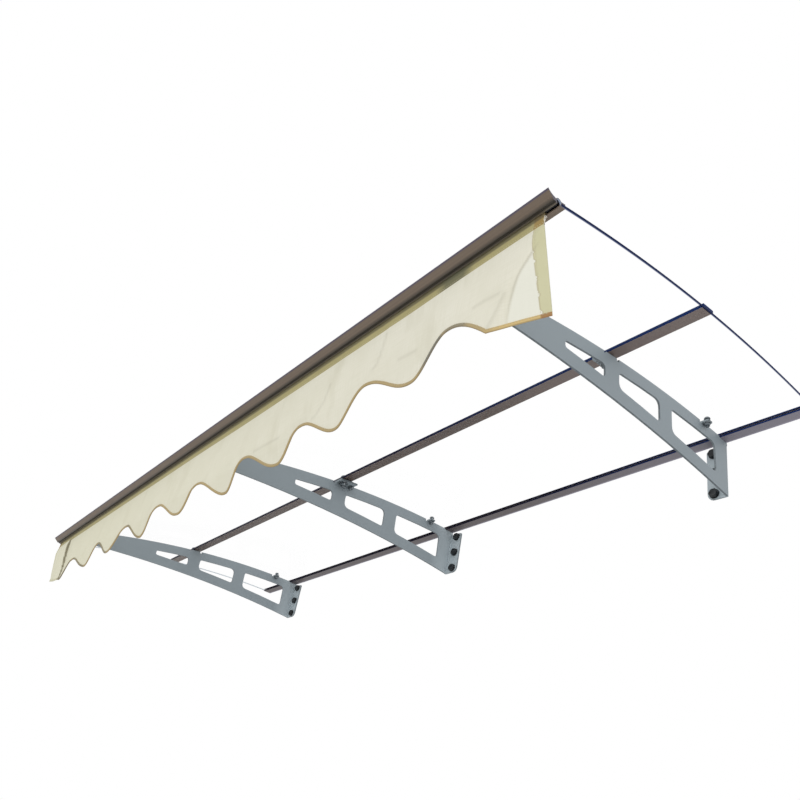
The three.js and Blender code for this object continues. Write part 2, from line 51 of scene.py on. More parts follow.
lens.shift_x = -0.0624
lens.shift_y = 0.1124
lens.clip_start = 0.01
lens.clip_end = 200.0
scene.collection.objects.link(camera)
scene.camera = camera


# Studio: a plain pale floor two metres below the awning, an even pale surround and two soft lamps.
# The surround is white to the eye, in gloss and through clear plastic, and a little dimmer as light.
def feed(tree, node, inputs):
    for key, value in inputs.items():
        if isinstance(value, bpy.types.NodeSocket):
            tree.links.new(value, node.inputs[key])
        else:
            node.inputs[key].default_value = value


def add(tree, kind, inputs, **settings):
    node = tree.nodes.new(kind)
    for key, value in settings.items():
        setattr(node, key, value)
    feed(tree, node, inputs)
    return node


def sums(tree, operation, first, second):
    return add(tree, "ShaderNodeMath", {0: first, 1: second}, operation=operation).outputs[0]


def new_finish(name):
    finish = bpy.data.materials.new(name)
    finish.use_nodes = True
    tree = finish.node_tree
    return finish, tree, tree.nodes["Principled BSDF"]


scene.view_settings.view_transform = "Standard"
surround = bpy.data.worlds.new("surround")
scene.world = surround
surround.use_nodes = True
sky = surround.node_tree
sky.nodes.clear()
white = (1.0, 1.0, 1.0, 1.0)
sky_light = add(sky, "ShaderNodeBackground", {"Color": white, "Strength": 0.9})
sky_seen = add(sky, "ShaderNodeBackground", {"Color": white, "Strength": 1.0})
sky_ray = add(sky, "ShaderNodeLightPath", {}).outputs
seen = sums(sky, "MAXIMUM", sky_ray["Is Camera Ray"], sky_ray["Is Glossy Ray"])
seen = sums(sky, "MAXIMUM", seen, sky_ray["Is Transmission Ray"])
sky_mix = add(sky, "ShaderNodeMixShader", {0: seen, 1: sky_light.outputs[0], 2: sky_seen.outputs[0]})
add(sky, "ShaderNodeOutputWorld", {0: sky_mix.outputs[0]})

for lamp_name, lamp_place, lamp_aim, lamp_size, lamp_watts in [
    ("lamp_right", (3.4, -2.6, -0.2), (0.4, -0.5, 0.0), 2.4, 14.0),
    ("lamp_above", (-0.8, -2.0, 3.0), (0.0, -0.4, 0.0), 2.6, 10.0),
]:
    lamp = bpy.data.objects.new(lamp_name, bpy.data.lights.new(lamp_name, "AREA"))
    lamp.data.shape = "DISK"
    lamp.data.size = lamp_size
    lamp.data.energy = lamp_watts
    lamp.location = lamp_place
    lamp_turn = (Vector(lamp_aim) - Vector(lamp_place)).to_track_quat("-Z", "Y")
    lamp.rotation_euler = lamp_turn.to_euler()
    scene.collection.objects.link(lamp)

floor_half, floor_height = 30.0, -2.1
floor_turns = [(-1, -1), (1, -1), (1, 1), (-1, 1)]
floor_corners = [(x * floor_half, y * floor_half, floor_height) for x, y in floor_turns]
floor_mesh = bpy.data.meshes.new("floor")
floor_mesh.from_pydata(floor_corners, [], [(0, 1, 2, 3)])
floor = bpy.data.objects.new("floor", floor_mesh)
scene.collection.objects.link(floor)
floor_paint, tree, shader = new_finish("floor_paint")
feed(tree, shader, {"Base Color": (0.86, 0.86, 0.855, 1.0), "Roughness": 0.9})
floor_mesh.materials.append(floor_paint)


# Brackets: three arms cut from 4 mm steel plate, each with three windows, a flange bent at its rear end
# and two ears bent over at its top edge. Powder coated blue grey, darker in patches on the cut edges, and
# painted paler in the inner corner of the flange to cancel the shade that falls there.
def srgb(red, green, blue):
    shares = [value / 255.0 for value in (red, green, blue)]
    linear = [s / 12.92 if s <= 0.04045 else ((s + 0.055) / 1.055) ** 2.4 for s in shares]
    return (*linear, 1.0)


def object_place(tree, stretch=(1.0, 1.0, 1.0)):
    place = add(tree, "ShaderNodeTexCoord", {}).outputs["Object"]
    return add(tree, "ShaderNodeMapping", {"Vector": place, "Scale": stretch}).outputs[0]


def object_axis(tree, axis):
    return add(tree, "ShaderNodeSeparateXYZ", {0: object_place(tree)}).outputs[axis]


def mottle(tree, place, scale, detail=3.0, roughness=0.55):
    inputs = {"Vector": place, "Scale": scale, "Detail": detail, "Roughness": roughness}
    return add(tree, "ShaderNodeTexNoise", inputs).outputs[0]


def between(tree, share, first, second):
    mixed = add(tree, "ShaderNodeMix", {0: share, 6: first, 7: second}, data_type="RGBA")
    return mixed.outputs[2]


def layered(tree, colour, layers):
    for share, over in layers:
        colour = between(tree, share, colour, over)
    return colour


def ramp(tree, value, low, high, to_low=0.0, to_high=1.0):
    inputs = {"Value": value, "From Min": low, "From Max": high, "To Min": to_low, "To Max": to_high}
    return add(tree, "ShaderNodeMapRange", inputs).outputs[0]


def product(tree, first, second):
    return sums(tree, "MULTIPLY", first, second)


def worked(tree, shader, heights):
    normal = None
    for height, distance, strength in heights:
        inputs = {"Height": height, "Distance": distance, "Strength": strength}
        if normal is not None:
            inputs["Normal"] = normal
        normal = add(tree, "ShaderNodeBump", inputs).outputs[0]
    feed(tree, shader, {"Normal": normal})


def attribute(tree, name):
    return add(tree, "ShaderNodeAttribute", {}, attribute_name=name).outputs["Fac"]


def merged_copy(node, flatten=0.0):
    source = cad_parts[node].data
    shape = bmesh.new()
    points = [shape.verts.new(vertex.co) for vertex in source.vertices]
    for polygon in source.polygons:
        shape.faces.new([points[i] for i in polygon.vertices])
    bmesh.ops.remove_doubles(shape, verts=shape.verts, dist=2e-6)
    if flatten:
        limit = math.radians(flatten)
        bmesh.ops.dissolve_limit(shape, angle_limit=limit, verts=shape.verts, edges=shape.edges)
    shape.normal_update()
    return shape


def shaped_mesh(name, shape, sharp):
    mesh = bpy.data.meshes.new(name)
    shape.to_mesh(mesh)
    shape.free()
    mesh.shade_smooth()
    mesh.set_sharp_from_angle(angle=math.radians(sharp))
    return mesh


def new_piece(name, mesh, materials, nodes):
    piece = bpy.data.objects.new(name, mesh)
    scene.collection.objects.link(piece)
    for material in materials:
        mesh.materials.append(material)
    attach(piece, "root")
    if nodes:
        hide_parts(*nodes)
    return piece


def soft_edges(piece, width, angle=30.0):
    bevel = piece.modifiers.new("edges", "BEVEL")
    bevel.width = width
    bevel.segments = 2
    bevel.limit_method = "ANGLE"
    bevel.angle_limit = math.radians(angle)
    flat_faces = piece.modifiers.new("flat_faces", "WEIGHTED_NORMAL")
    flat_faces.weight = 100
    flat_faces.keep_sharp = True


plate_thickness = 0.004
flange_sides = {"left": 1, "middle": 1, "right": -1}
bracket_coat, tree, shader = new_finish("bracket_coat")
place = object_place(tree)
reach = object_axis(tree, "Y")
cloudy = mottle(tree, place, 22.0, 4.0)
coat = between(tree, cloudy, srgb(133, 143, 149), srgb(141, 151, 157))
specks = ramp(tree, mottle(tree, place, 620.0, 2.0), 0.62, 0.72)
# Painted light: the flange's inner faces near the wall end are painted paler, against the shade in the
# corner.
corner_painted_light = product(tree, attribute(tree, "inner"), ramp(tree, reach, -0.065, -0.012))
patchy = ramp(tree, mottle(tree, place, 150.0), 0.2, 0.7, 0.4, 0.9)
coat = layered(tree, coat, [
    (product(tree, specks, 0.18), srgb(160, 168, 172)),
    (corner_painted_light, srgb(178, 189, 195)),
    (product(tree, attribute(tree, "cut"), patchy), srgb(78, 86, 91)),
])
dullness = ramp(tree, cloudy, 0.3, 0.7, 0.44, 0.56)
feed(tree, shader, {"Base Color": coat, "Roughness": dullness, "Specular IOR Level": 0.35})
peel = mottle(tree, place, 700.0, 2.0)
ripple = mottle(tree, place, 40.0, 2.0)
worked(tree, shader, [(peel, 0.00012, 0.35), (ripple, 0.0006, 0.12)])

for side, hand in flange_sides.items():
    shape = merged_copy(f"bracket_{side}", 0.25)
    through = [abs(edge.calc_length() - plate_thickness) < 0.0003 for edge in shape.edges]
    shape.edges.index_update()
    cut_faces = []
    inner_faces = []
    for face in shape.faces:
        inner_faces.append(float(face.normal.x * hand > 0.5 or face.normal.y < -0.5))
        across_plate = sum(through[edge.index] for edge in face.edges)
        cut_faces.append(float(across_plate >= 2 and len(face.edges) < 7))
    mesh = shaped_mesh(f"bracket_arm_{side}", shape, 28)
    mesh.attributes.new("cut", "FLOAT", "FACE").data.foreach_set("value", cut_faces)
    mesh.attributes.new("inner", "FLOAT", "FACE").data.foreach_set("value", inner_faces)
    arm = new_piece(f"bracket_arm_{side}", mesh, [bracket_coat], [f"bracket_{side}"])
    soft_edges(arm, 0.0005)


# Wall bolts: nine black hexagon bolts with a collar under the head, three through each flange.
# Forged, chamfered on top and blackened, with paler steel where a spanner has rubbed the corners.
def mesh_of(name, rings, closed_ends=True):
    count = len(rings[0])
    points = [point for ring in rings for point in ring]
    faces = []
    for k in range(len(rings) - 1):
        for i in range(count):
            j = (i + 1) % count
            faces.append((k * count + i, k * count + j, (k + 1) * count + j, (k + 1) * count + i))
    if closed_ends:
        faces.append(tuple(reversed(range(count))))
        faces.append(tuple(range((len(rings) - 1) * count, len(rings) * count)))
    mesh = bpy.data.meshes.new(name)
    mesh.from_pydata(points, [], faces)
    return mesh


def round_ring(radius, height, count):
    turns = [2 * math.pi * i / count for i in range(count)]
    return [(radius * math.cos(turn), radius * math.sin(turn), height) for turn in turns]


def round_rings(profile, count):
    return [round_ring(radius, height, count) for radius, height in profile]


def hexagon_rings(across, low, high, count, chamfered_low=False):
    flat = across / 2
    turns = [2 * math.pi * i / count for i in range(count)]
    radii = [flat / math.cos((turn % (math.pi / 3)) - math.pi / 6) for turn in turns]
    fall = math.tan(math.radians(30))

    def ring(shares, height_of):
        return [(r * math.cos(t), r * math.sin(t), height_of(r)) for r, t in zip(shares, turns)]

    inner = [flat * 0.95] * count
    top = [ring(radii, lambda r: high - (r - flat * 0.95) * fall), ring(inner, lambda r: high)]
    if chamfered_low:
        return [ring(inner, lambda r: low), ring(radii, lambda r: low + (r - flat * 0.95) * fall), *top]
    return [ring(radii, lambda r: low), *top]


def bolt_finish(name, colour, wear_and_glint, metallic, roughness):
    finish, tree, shader = new_finish(name)
    place = object_place(tree)
    patches = mottle(tree, place, 260.0, 4.0)
    colour_out = between(tree, ramp(tree, patches, 0.45, 0.75), colour, wear_and_glint)
    dullness = ramp(tree, patches, 0.3, 0.7, roughness - 0.08, roughness + 0.12)
    feed(tree, shader, {"Base Color": colour_out, "Roughness": dullness, "Metallic": metallic})
    worked(tree, shader, [(mottle(tree, place, 900.0, 2.0), 0.0001, 0.3)])
    return finish


def new_grower(name, parts, sizes):
    tree = bpy.data.node_groups.new(name, "GeometryNodeTree")
    for label, kind in parts.items():
        tree.interface.new_socket(label, in_out="INPUT", socket_type=f"NodeSocket{kind}")
    for label, size in sizes.items():
        socket = tree.interface.new_socket(label, in_out="INPUT", socket_type="NodeSocketFloat")
        socket.default_value = size
    tree.interface.new_socket("Grown", in_out="OUTPUT", socket_type="NodeSocketGeometry")
    return tree, tree.nodes.new("NodeGroupInput").outputs


def coated_tree(tree, grown, finish):
    real = add(tree, "GeometryNodeRealizeInstances", {0: grown.outputs[0]})
    coated = add(tree, "GeometryNodeSetMaterial", {"Geometry": real.outputs[0], "Material": finish})
    add(tree, "NodeGroupOutput", {0: coated.outputs[0]})
    return tree


def setting_out_tree():
    parts = {"Places": "Geometry", "Fastener": "Object", "Finish": "Material"}
    tree, given = new_grower("fasteners_at_places", parts, {})
    shape = add(tree, "GeometryNodeObjectInfo", {"Object": given["Fastener"]})
    turn = add(tree, "GeometryNodeInputNamedAttribute", {"Name": "turn"}, data_type="FLOAT_VECTOR")
    turned = add(tree, "FunctionNodeEulerToRotation", {0: turn.outputs[0]})
    placed = add(tree, "GeometryNodeInstanceOnPoints", {
        "Points": given["Places"],
        "Instance": shape.outputs["Geometry"],
        "Rotation": turned.outputs[0],
    })
    return coated_tree(tree, placed, given["Finish"])


def grown_mesh(name, carrier, tree, values):
    scene.collection.objects.link(carrier)
    grower = carrier.modifiers.new("grow", "NODES")
    grower.node_group = tree
    sockets = {item.name: item.identifier for item in tree.interface.items_tree if item.in_out == "INPUT"}
    for key, value in values.items():
        grower[sockets[key]] = value
    bpy.context.view_layer.update()
    evaluated = carrier.evaluated_get(bpy.context.evaluated_depsgraph_get())
    mesh = bpy.data.meshes.new_from_object(evaluated)
    mesh.name = name
    mesh.materials.clear()
    mesh.shade_smooth()
    bpy.data.objects.remove(carrier)
    return mesh


def set_out(name, fastener_mesh, places, turns, finish, nodes):
    fastener = bpy.data.objects.new(f"{name}_one", fastener_mesh)
    points = bpy.data.meshes.new(f"{name}_places")
    points.from_pydata(places, [], [])
    points.attributes.new("turn", "FLOAT_VECTOR", "POINT").data.foreach_set("vector", np.ravel(turns))
    carrier = bpy.data.objects.new(f"{name}_places", points)
    mesh = grown_mesh(name, carrier, fastener_setting, {"Fastener": fastener, "Finish": finish})
    bpy.data.objects.remove(fastener)
    mesh.set_sharp_from_angle(angle=math.radians(28))
    return new_piece(name, mesh, [finish], nodes)


fastener_setting = setting_out_tree()
# Places are measured from the middle bracket's plate and moved to the frame's origin on its flange.
shift = np.array([-0.0215, 0.0, -0.035])
bracket_places = {"left": -0.818, "middle": 0.0, "right": 0.818}
black_oxide = bolt_finish("black_oxide", srgb(16, 20, 24), srgb(52, 58, 62), 0.35, 0.42)
shank, collar, head_across, head_low, head_top = 0.0050, 0.0105, 0.017, 0.0021, 0.0080
collar_profile = [
    (shank, -0.0037), (shank, 0.0), (0.0104, 0.0), (collar, 0.0003),
    (collar, 0.0014), (0.0102, 0.0019), (0.0099, 0.0020),
]
dish_profile = [(0.0058, head_top), (0.0052, 0.0077), (0.0012, 0.0077)]
bolt_facets = 36
wall_bolt = mesh_of("wall_bolt", [
    *round_rings(collar_profile, bolt_facets),
    *hexagon_rings(head_across, head_low, head_top, bolt_facets),
    *round_rings(dish_profile, bolt_facets),
])
bolt_levels = {"low": 0.012, "middle": 0.058, "top": 0.104}
bolt_aside, bolt_seat = 0.026, -0.0043
bolt_places = []
bolt_nodes = []
for side, across in bracket_places.items():
    for level, height in bolt_levels.items():
        bolt_places.append(shift + (across + flange_sides[side] * bolt_aside, bolt_seat, height))
        bolt_nodes.append(f"wall_bolt_{side}_{level}")
bolt_turns = [(math.pi / 2, 0.0, 0.0)] * len(bolt_places)
set_out("wall_bolts", wall_bolt, bolt_places, bolt_turns, black_oxide, bolt_nodes)

# Clear sheet: one panel of 4 mm polycarbonate, sprung to the brackets' arc and held by the three rails.
# Both faces are glossy. The sawn right end, and the faces just before it, are painted dark blue as shade and
# reflection, and the left end is pale.
clear_plastic, tree, shader = new_finish("clear_polycarbonate")
across = object_axis(tree, "X")
# Painted shade and reflection: the faces turn dark blue just before the right end.
right_shade_from, right_shade_to = 0.9766, 0.9774
right_edge_shade = ramp(tree, across, right_shade_from, right_shade_to)
edge_shade_tint = between(tree, right_edge_shade, srgb(255, 255, 255), srgb(24, 32, 66))
feed(tree, shader, {"Base Color": edge_shade_tint, "Transmission Weight": 1.0, "Roughness": 0.0, "IOR": 1.02})
sawn_ends = []
# The right end is painted dark blue as shade and reflection; the left end is pale.
for name, dark, light in [
    ("sawn_end_right", srgb(2, 16, 52), srgb(12, 34, 80)),
    ("sawn_end_left", srgb(196, 206, 214), srgb(214, 222, 228)),
]:
    sawn_end, tree, shader = new_finish(name)
    place = object_place(tree, (1.0, 4.0, 260.0))
    sawn = between(tree, mottle(tree, place, 40.0), dark, light)
    feed(tree, shader, {"Base Color": sawn, "Roughness": 0.6, "Specular IOR Level": 0.05})
    worked(tree, shader, [(mottle(tree, place, 60.0, 2.0), 0.0002, 0.3)])
    sawn_ends.append(sawn_end)

shape = merged_copy("clear_sheet")
for face in shape.faces:
    if abs(face.normal.x) > 0.9:
        face.material_index = 1 if face.normal.x > 0 else 2
mesh = shaped_mesh("clear_panel", shape, 12)
panel = new_piece("clear_panel", mesh, [clear_plastic, *sawn_ends], ["clear_sheet"])
panel.visible_shadow = False
panel.visible_diffuse = False
panel.visible_glossy = False

# Rails: a front and a rear rail, extruded in aluminium with slots for the sheet, and a flat middle bar that
# is bolted down on it. Coated brown, with fine die lines along their length; the bar's brown is painted
# darker as shade and the rear rail's greyer as painted reflection. The bar's ends and the front sides of the
# bar and rear rail are painted dark blue as shade and reflection, and uncoated metal with a painted glint
# shows round the front rail's cord channel at its ends, whose inside is painted black as shade.
arc_radius, crown_height, crown_reach = 2.480, 0.125, 0.030


def arc_height(y, above=0.0):
    rise = np.sqrt((arc_radius + above) ** 2 - (np.asarray(y) + crown_reach) ** 2)
    return crown_height - arc_radius + rise


def die_lines(tree):
    return mottle(tree, object_place(tree, (0.6, 420.0, 420.0)), 1.0)


def rail_finish(name, dull, bright, roughness=0.43, shade_and_light_bands=(), pale=None, front=None, gloss=0.35):
    finish, tree, shader = new_finish(name)
    drawn = die_lines(tree)
    cloudy = mottle(tree, object_place(tree, (2.0, 12.0, 12.0)), 3.0)
    share = sums(tree, "ADD", product(tree, drawn, 0.7), product(tree, cloudy, 0.3))
    coat = between(tree, ramp(tree, share, 0.3, 0.7), dull, bright)
    across = object_axis(tree, "X")
    reach = object_axis(tree, "Y")
    # Painted reflection: the coat turns paler between two places along the rail.
    if pale:
        pale_from, pale_to, pale_colour = pale
        coat = between(tree, ramp(tree, across, pale_from, pale_to, 0.0, 0.8), coat, pale_colour)
    # Painted bands of shade and highlight.
    for band_from, band_to, band_colour in shade_and_light_bands:
        coat = between(tree, ramp(tree, reach, band_from, band_to), coat, band_colour)
    if front is not None:
        # The front side is painted dark blue as shade and reflection, bluer towards the right.
        behind_front = ramp(tree, reach, front + 0.0018, front + 0.0022)
        blue = between(tree, ramp(tree, across, 0.2, 0.95), front_shade, front_reflection)
        coat = between(tree, behind_front, blue, coat)
        gloss = product(tree, behind_front, gloss)
    dullness = ramp(tree, drawn, 0.3, 0.7, roughness - 0.07, roughness + 0.07)
    feed(tree, shader, {"Base Color": coat, "Roughness": dullness, "Specular IOR Level": gloss})
    worked(tree, shader, [(drawn, 0.00015, 0.12)])
    return finish


sheet_reach = 0.7245
channel_y = -sheet_reach - 0.0057
channel_z = float(arc_height(-sheet_reach, 0.0023)) + 0.0006
channel_bore, channel_mouth, channel_lip = 0.0084, 0.005, 0.0026
groove_front, groove_rear = channel_y - 0.0091, channel_y - channel_mouth / 2 - channel_lip
tip_rear = channel_y - 0.0209
middle_front, rear_front = -0.391, -0.028
# Dark and blue colours painted on the front sides as shade and reflection.
front_shade, front_reflection = srgb(12, 12, 32), srgb(18, 46, 98)
front_browns = [srgb(104, 90, 78), srgb(120, 106, 92)]
# Bands of painted shade and painted highlight lie between two reaches of a rail, and a painted reflection
# turns its coat paler between two places along it.
rail_coats = {
    "front_rail": rail_finish("front_rail_brown", *front_browns),
    "middle_rail": rail_finish("middle_rail_brown", srgb(78, 66, 61), srgb(92, 79, 74), shade_and_light_bands=[
        (middle_front + 0.0030, middle_front + 0.0026, srgb(120, 110, 114)),
    ], pale=(0.50, 0.74, srgb(120, 108, 104)), front=middle_front),
    "rear_rail": rail_finish("rear_rail_brown", srgb(88, 81, 82), srgb(99, 92, 95), shade_and_light_bands=[
        (-0.0060, -0.0045, srgb(142, 138, 154)),
    ], pale=(0.25, 0.95, srgb(134, 131, 144)), front=rear_front),
}
# The cord channel's bore: uncoated metal with a painted glint at the rail's ends, and painted black as shade
# further in.
rail_bore, tree, shader = new_finish("rail_bore_glint_and_shade")
across = object_axis(tree, "X")
from_middle = sums(tree, "ABSOLUTE", sums(tree, "SUBTRACT", across, shift[0]), 0.0)
drawn = die_lines(tree)
bare_with_glint = between(tree, drawn, srgb(160, 176, 204), srgb(196, 208, 226))
bore_shade = between(tree, drawn, srgb(10, 10, 14), srgb(20, 20, 24))
at_end = ramp(tree, from_middle, 0.9973, 0.9984)
feed(tree, shader, {"Base Color": between(tree, at_end, bore_shade, bare_with_glint), "Roughness": 0.5})
worked(tree, shader, [(drawn, 0.0001, 0.4)])
# Front rail zones: the groove, the lip and the fin's tip are painted darker as shade, the slope is painted
# darker as shade near its tip and its heel, and the lip's edge carries a painted highlight.
zone_finishes = {
    "sawn": rail_finish("rail_sawn_end", srgb(78, 73, 84), srgb(94, 88, 96)),
    "shaded_side": rail_finish("rail_shaded_side", srgb(13, 14, 34), srgb(28, 28, 54), 0.4, gloss=0.03,
                        pale=(0.2, 0.95, front_reflection)),
    "bore": rail_bore,
    "groove": rail_finish("rail_groove_shaded", srgb(50, 46, 40), srgb(66, 61, 53), 0.6),
    "lip": rail_finish("rail_lip_shaded", srgb(66, 61, 53), srgb(80, 74, 64), shade_and_light_bands=[
        (groove_rear, groove_rear + channel_lip, srgb(106, 98, 84)),
    ]),
    "tip": rail_finish("rail_tip_shaded", srgb(78, 73, 80), srgb(92, 87, 94)),
    "slope": rail_finish("rail_slope_brown", *front_browns, shade_and_light_bands=[
        (-0.7494, -0.7504, srgb(84, 78, 94)),
        (-0.7432, -0.7392, srgb(62, 57, 50)),
    ]),
}


def rail_zone(rail, face):
    middle = face.calc_center_median() - Vector(shift)
    if abs(face.normal.x) > 0.9:
        # The middle bar's ends are painted dark blue as shade and reflection.
        return "shaded_side" if rail == "middle_rail" else "sawn"
    if rail != "front_rail":
        # The front sides of the bar and rear rail are painted dark blue as shade and reflection.
        return "shaded_side" if face.normal.y < -0.8 else "coat"
    if math.hypot(middle.y - channel_y, middle.z - channel_z) < channel_bore / 2 + 0.0002:
        return "bore"
    below = middle.z < channel_z - 0.002
    if below and groove_front < middle.y < groove_rear + 0.0001:
        return "groove"
    if below and groove_rear < middle.y < channel_y - channel_mouth / 2 - 0.0001:
        return "lip"
    if middle.y < tip_rear:
        return "tip"
    return "slope" if face.normal.z < -0.3 and face.normal.y < -0.3 else "coat"


for rail, coat in rail_coats.items():
    finishes = {"coat": coat, **zone_finishes}
    zones = list(finishes)
    shape = merged_copy(rail, 0.2)
    for face in shape.faces:
        face.material_index = zones.index(rail_zone(rail, face))
    mesh = shaped_mesh(f"{rail}_bar", shape, 35)
    bar = new_piece(f"{rail}_bar", mesh, list(finishes.values()), [rail])
    soft_edges(bar, 0.0003, 38.0)


# Sheet, rail and keeper fixings: dome headed bolts from above, each with a washer and nut under the ear.
# Zinc plated steel, dulled in the weather, with pale patches that are partly wear and partly painted glints,
# and rolled threads that stand out below the nut.
def ear_place(across, reach, ear_reach, out, height):
    tilt = -math.asin((-ear_reach + crown_reach) / arc_radius)
    turn = Euler((tilt, 0.0, 0.0)).to_matrix()
    ear = Vector((across, -ear_reach, float(arc_height(-ear_reach))))
    return tuple(ear + turn @ Vector((out, ear_reach - reach, height)) + Vector(shift)), (tilt, 0.0, 0.0)


# A bolt with a rolled thread up its shank and a domed head, its origin under the head.
def dome_bolt(name, diameter, shank, thread_from, pitch, head, head_height):
    count, shank_radius, head_radius = 28, diameter / 2, head / 2
    steps = int((shank - thread_from) / (pitch / 5))
    turns = [2 * math.pi * i / count for i in range(count)]
    rings = [round_ring(diameter * 0.36, -shank, count)]
    for k in range(steps + 1):
        height = -shank + 0.0004 + (shank - thread_from) * k / steps
        ring = []
        for turn in turns:
            tooth = abs(((height / pitch + turn / (2 * math.pi)) % 1.0) - 0.5) * 2
            radius = shank_radius - 0.32 * pitch * (1 - tooth)
            ring.append((radius * math.cos(turn), radius * math.sin(turn), height))
        rings.append(ring)
    profile = [(shank_radius, -thread_from + 0.0006), (shank_radius, 0.0), (head_radius * 0.97, 0.0)]
    for k in range(9):
        lean = math.radians(4 + 10.6 * k)
        profile.append((head_radius * math.cos(lean), head_height * (0.1 + 0.9 * math.sin(lean))))
    return mesh_of(name, rings + round_rings(profile, count))


def washer(name, inner, outer, thickness):
    count, edge = 40, thickness * 0.22
    bore, rim = inner / 2, outer / 2
    profile = [(bore, 0.0), (rim - edge, 0.0), (rim, edge), (rim, thickness - edge)]
    profile += [(rim - edge, thickness), (bore, thickness), (bore, 0.0)]
    return mesh_of(name, round_rings(profile, count), closed_ends=False)


def nut(name, diameter, across, height):
    count, bore, lead = 36, diameter / 2 + 0.0003, 0.0006
    outside = hexagon_rings(across, 0.0, height, count, chamfered_low=True)
    inside = [(bore + lead, height), (bore, height - lead), (bore, lead), (bore + lead, 0.0)]
    rings = [round_ring(bore + lead, 0.0, count), *outside, *round_rings(inside, count)]
    return mesh_of(name, rings, closed_ends=False)


# Its pale patches are partly wear and partly painted glints.
dull_zinc = bolt_finish("dull_zinc", srgb(84, 92, 98), srgb(172, 178, 182), 0.75, 0.28)
sheet_bolt_reach, small_out = 0.088, 0.010
rail_bolt_reach, large_out = 0.382, 0.0155
keeper_reach, middle_ear_reach = 0.3555, 0.37275
sheet_spots = [("sheet", side, sheet_bolt_reach, sheet_bolt_reach, small_out) for side in bracket_places]
sheet_spots.append(("keeper", "middle", keeper_reach, middle_ear_reach, small_out))
rail_spots = [
    ("rail", "left", rail_bolt_reach, rail_bolt_reach, -large_out),
    ("rail", "middle", rail_bolt_reach, middle_ear_reach, large_out),
    ("rail", "right", rail_bolt_reach, rail_bolt_reach, -large_out),
]
fixings = {
    "sheet": (sheet_spots, {
        "bolt": (0.0046, dome_bolt("sheet_bolt", diameter=0.006, shank=0.0189, thread_from=0.006,
                                   pitch=0.001, head=0.0125, head_height=0.005)),
        "washer": (-0.0060, washer("sheet_washer", inner=0.0066, outer=0.0145, thickness=0.0016)),
        "nut": (-0.0113, nut("sheet_nut", diameter=0.006, across=0.010, height=0.005)),
    }),
    "rail": (rail_spots, {
        "bolt": (0.0099, dome_bolt("rail_bolt", diameter=0.008, shank=0.0281, thread_from=0.010,
                                   pitch=0.00125, head=0.016, head_height=0.006)),
        "washer": (-0.0064, washer("rail_washer", inner=0.0086, outer=0.024, thickness=0.002)),
        "nut": (-0.0132, nut("rail_nut", diameter=0.008, across=0.013, height=0.0065)),
    }),
}
for group, (spots, fasteners) in fixings.items():
    for kind, (height, fastener_mesh) in fasteners.items():
        set_places = []
        set_turns = []
        set_nodes = []
        for family, side, reach, ear_reach, out in spots:
            spot, turn = ear_place(bracket_places[side], reach, ear_reach, out, height)
            set_places.append(spot)
            set_turns.append(turn)
            set_nodes.append(f"{family}_{kind}_{side}")
        name = f"{group}_{kind}s"
        set_out(name, fastener_mesh, set_places, set_turns, dull_zinc, set_nodes)

# Valance rod: a black plastic rod, pushed through the cloth's pocket in the front rail's cord channel.
# A moulded cap closes its left end, and its right end stops inside the rail.
rod_black, tree, shader = new_finish("rod_black")
place = object_place(tree, (12.0, 300.0, 300.0))
scuffs = mottle(tree, place, 1.0, 4.0)
scuffed = between(tree, ramp(tree, scuffs, 0.4, 0.75), srgb(14, 15, 20), srgb(44, 46, 52))
feed(tree, shader, {"Base Color": scuffed, "Roughness": ramp(tree, scuffs, 0.3, 0.7, 0.38, 0.55)})
worked(tree, shader, [(scuffs, 0.0001, 0.3)])
rod_radius, cap_radius = 0.0025, 0.004
rod_profile = [
    (-1.0073, cap_radius * 0.35), (-1.0072, cap_radius * 0.7), (-1.0066, cap_radius * 0.93),
    (-1.0058, cap_radius), (-1.0008, cap_radius), (-1.0003, cap_radius * 0.88),
    (-1.0003, rod_radius), (0.9946, rod_radius), (0.9950, rod_radius * 0.8),
]
rod_rings = []
for place, radius in rod_profile:
    rod_rings.append([(x, y, z) for y, z, x in round_ring(radius, place, 24)])
rod_mesh = mesh_of("valance_rod_bar", rod_rings)
rod_mesh.transform(Matrix.Translation(Vector(shift) + Vector((0.0, channel_y, channel_z))))
rod_mesh.shade_smooth()
rod_mesh.set_sharp_from_angle(angle=math.radians(40))
new_piece("valance_rod_bar", rod_mesh, [rod_black], ["valance_rod"])

# Valance cloth: one panel of thin cream awning cloth, turned over the rod at its top and sewn down as a hem.
# Its lower edge is cut by hand, in leaning waves with a straight panel at the left end. It hangs in soft
# folds, with its right corner folded back along a slanting line and a pleat near its left side.
cloth_left, cloth_right = -0.994, 0.978
cloth_drop, wave_height, wave_pitch, wave_lean = 0.1345, 0.0235, 0.1953, 0.63
first_low, last_low = -0.825, 0.898
last_drop, corner_drop = 0.1609, 0.152
first_crest = first_low + (1 - wave_lean) * wave_pitch
last_crest = first_crest + math.floor((last_low - first_crest) / wave_pitch - 0.25) * wave_pitch
hem_height, side_hem = 0.0234, 0.018
pocket_radius, straight, panel_offset = 0.0033, 0.0068, -0.00045
# Points on the cloth are a place along it and a drop below the rod.
left_edge = [
    (cloth_left, 0.1265), (-0.960, 0.1365), (-0.926, 0.1455), (-0.893, 0.1520), (-0.859, 0.1580),
    (-0.825, 0.1630), (-0.811, 0.1645), (-0.803, 0.1640), (-0.798, 0.1600), (-0.792, 0.1450),
    (-0.786, 0.1290), (-0.781, 0.1190), (-0.775, 0.1140), (-0.765, 0.1123),
]
